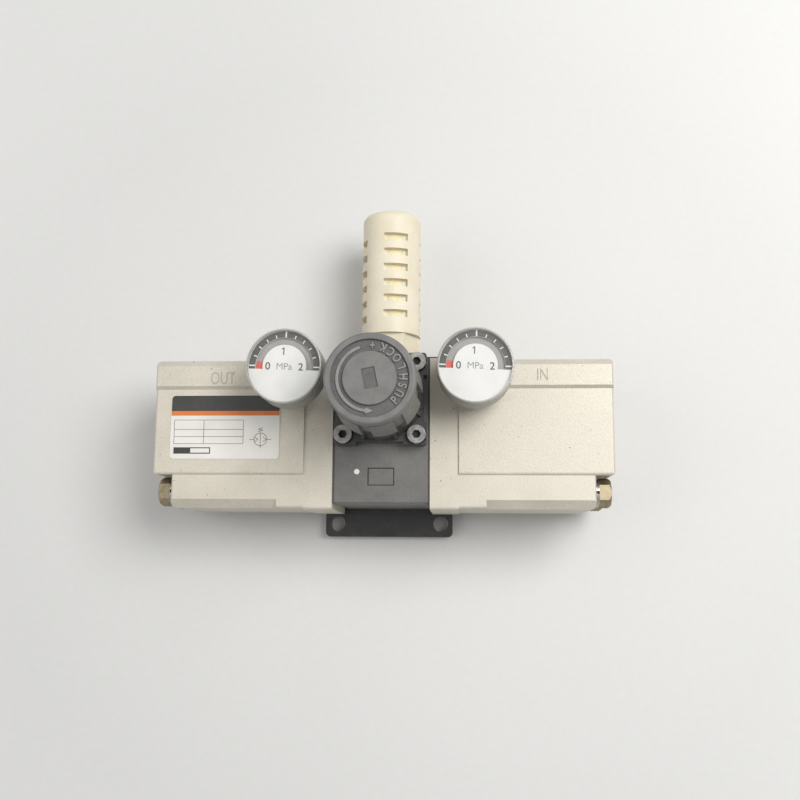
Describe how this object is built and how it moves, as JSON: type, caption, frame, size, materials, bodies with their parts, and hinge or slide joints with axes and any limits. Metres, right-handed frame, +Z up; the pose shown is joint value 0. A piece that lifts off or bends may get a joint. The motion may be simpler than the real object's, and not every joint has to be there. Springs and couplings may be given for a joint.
{
  "type": "air pressure booster",
  "caption": "Twin-cylinder air pressure booster: silver covers on a black centre block, push-lock regulator knob, clear-faced gauges, ivory exhaust silencer and a drilled base plate.",
  "frame": {"origin": "middle of the base plate's underside", "axes": "+Z up through the knob, +X towards the IN side, +Y towards the silencer and the air ports"},
  "size_m": [0.178, 0.1326, 0.099],
  "materials": {
    "silver_paint": "silver-beige paint on a die casting, fine grain",
    "black_paint": "black paint, satin on the block and glossier on the plate",
    "black_plastic": "moulded dark grey plastic, satin",
    "zinc_yellow": "yellow zinc plated steel",
    "steel": "turned or plated steel",
    "aluminium": "turned aluminium",
    "brass": "turned brass",
    "rubber": "moulded nitrile rubber",
    "gauge_grey": "grey moulded gauge case",
    "pointer_grey": "printed grey disc",
    "dial_white": "white printed dial plate",
    "clear_plastic": "clear moulded polycarbonate",
    "ivory_plastic": "ivory moulded resin",
    "porous_plastic": "sintered porous resin",
    "label_film": "printed film"
  },
  "bodies": {
    "housing": {"cover_left": "silver_paint", "cover_right": "silver_paint", "base_plate": "black_paint", "centre_block": "black_paint", "bonnet": "black_plastic", "cover_bolts": "zinc_yellow", "plate_screws": "steel", "spring_washers": "steel", "cover_screws": "steel", "bonnet_screws": "steel", "adjusting_spring": "steel", "valve_spring": "steel", "inlet_spring_left": "steel", "inlet_spring_right": "steel", "outlet_spring_left": "steel", "outlet_spring_right": "steel", "guide_bushes": "brass", "valve_retainers": "brass", "valve_guide": "brass", "thrust_washer": "brass", "gauge_stem_left": "brass", "gauge_stem_right": "brass", "gasket_left": "rubber", "gasket_right": "rubber", "rod_seals": "rubber", "diaphragm": "rubber", "gauge_ring_left": "rubber", "gauge_ring_right": "rubber", "gauge_case_left": "gauge_grey", "gauge_case_right": "gauge_grey", "gauge_dial_left": "dial_white", "gauge_dial_right": "dial_white", "gauge_lens_left": "clear_plastic", "gauge_lens_right": "clear_plastic", "silencer_body": "ivory_plastic", "silencer_element": "porous_plastic", "label": "label_film"},
    "piston_assembly": {"piston_rod": "steel", "piston_left": "aluminium", "piston_right": "aluminium", "piston_seals": "rubber", "rod_nuts": "steel"},
    "spool_valve": {"spool": "steel", "spool_rings": "rubber"},
    "regulator_valve": {"spring_plate": "aluminium", "valve_poppet": "brass"},
    "pressure_screw": {"adjusting_screw": "steel"},
    "pressure_nut": {"spring_nut": "brass"},
    "lock_knob": {"knob": "black_plastic"},
    "inlet_check_left": {"inlet_poppet_left": "brass"},
    "inlet_check_right": {"inlet_poppet_right": "brass"},
    "outlet_check_left": {"outlet_poppet_left": "brass"},
    "outlet_check_right": {"outlet_poppet_right": "brass"},
    "pointer_left": {"gauge_pointer_left": "pointer_grey"},
    "pointer_right": {"gauge_pointer_right": "pointer_grey"}
  },
  "joints": [
    {"name": "piston_stroke", "type": "slide", "parent": "housing", "child": "piston_assembly", "axis": [1, 0, 0], "range_m": [-0.0215, 0.0215]},
    {"name": "spool_shift", "type": "slide", "parent": "housing", "child": "spool_valve", "axis": [1, 0, 0], "range_m": [-0.0015, 0.0015]},
    {"name": "inlet_lift_left", "type": "slide", "parent": "housing", "child": "inlet_check_left", "axis": [-1, 0, 0], "range_m": [0, 0.001], "stiffness_N_per_m": 100, "deforming": ["inlet_spring_left"]},
    {"name": "inlet_lift_right", "type": "slide", "parent": "housing", "child": "inlet_check_right", "axis": [1, 0, 0], "range_m": [0, 0.001], "stiffness_N_per_m": 100, "deforming": ["inlet_spring_right"]},
    {"name": "outlet_lift_left", "type": "slide", "parent": "housing", "child": "outlet_check_left", "axis": [1, 0, 0], "range_m": [0, 0.001], "stiffness_N_per_m": 100, "deforming": ["outlet_spring_left"]},
    {"name": "outlet_lift_right", "type": "slide", "parent": "housing", "child": "outlet_check_right", "axis": [-1, 0, 0], "range_m": [0, 0.001], "stiffness_N_per_m": 100, "deforming": ["outlet_spring_right"]},
    {"name": "regulator_lift", "type": "slide", "parent": "housing", "child": "regulator_valve", "axis": [0, 0, -1], "range_m": [0, 0.001], "stiffness_N_per_m": 2000, "deforming": ["valve_spring", "diaphragm"]},
    {"name": "pressure_adjust", "type": "hinge", "parent": "housing", "child": "pressure_screw", "pos_m": [0, 0.0125, 0.08], "axis": [0, 0, -1], "range_deg": [0, 1080]},
    {"name": "nut_travel", "type": "slide", "parent": "housing", "child": "pressure_nut", "axis": [0, 0, -1], "range_m": [0, 0.00375], "deforming": ["adjusting_spring"]},
    {"name": "knob_pull", "type": "slide", "parent": "pressure_screw", "child": "lock_knob", "axis": [0, 0, 1], "range_m": [0, 0.003]},
    {"name": "pointer_sweep_left", "type": "hinge", "parent": "housing", "child": "pointer_left", "pos_m": [-0.0339, 0.0215, 0.0725], "axis": [0, 0, -1], "range_deg": [0, 180], "stiffness_Nm_per_rad": 0.0005},
    {"name": "pointer_sweep_right", "type": "hinge", "parent": "housing", "child": "pointer_right", "pos_m": [0.0361, 0.0215, 0.0725], "axis": [0, 0, -1], "range_deg": [0, 180], "stiffness_Nm_per_rad": 0.0005}
  ],
  "couplings": [
    {"joint": "nut_travel", "follows": "pressure_adjust", "m_per_rad": 0.00019894}
  ]
}
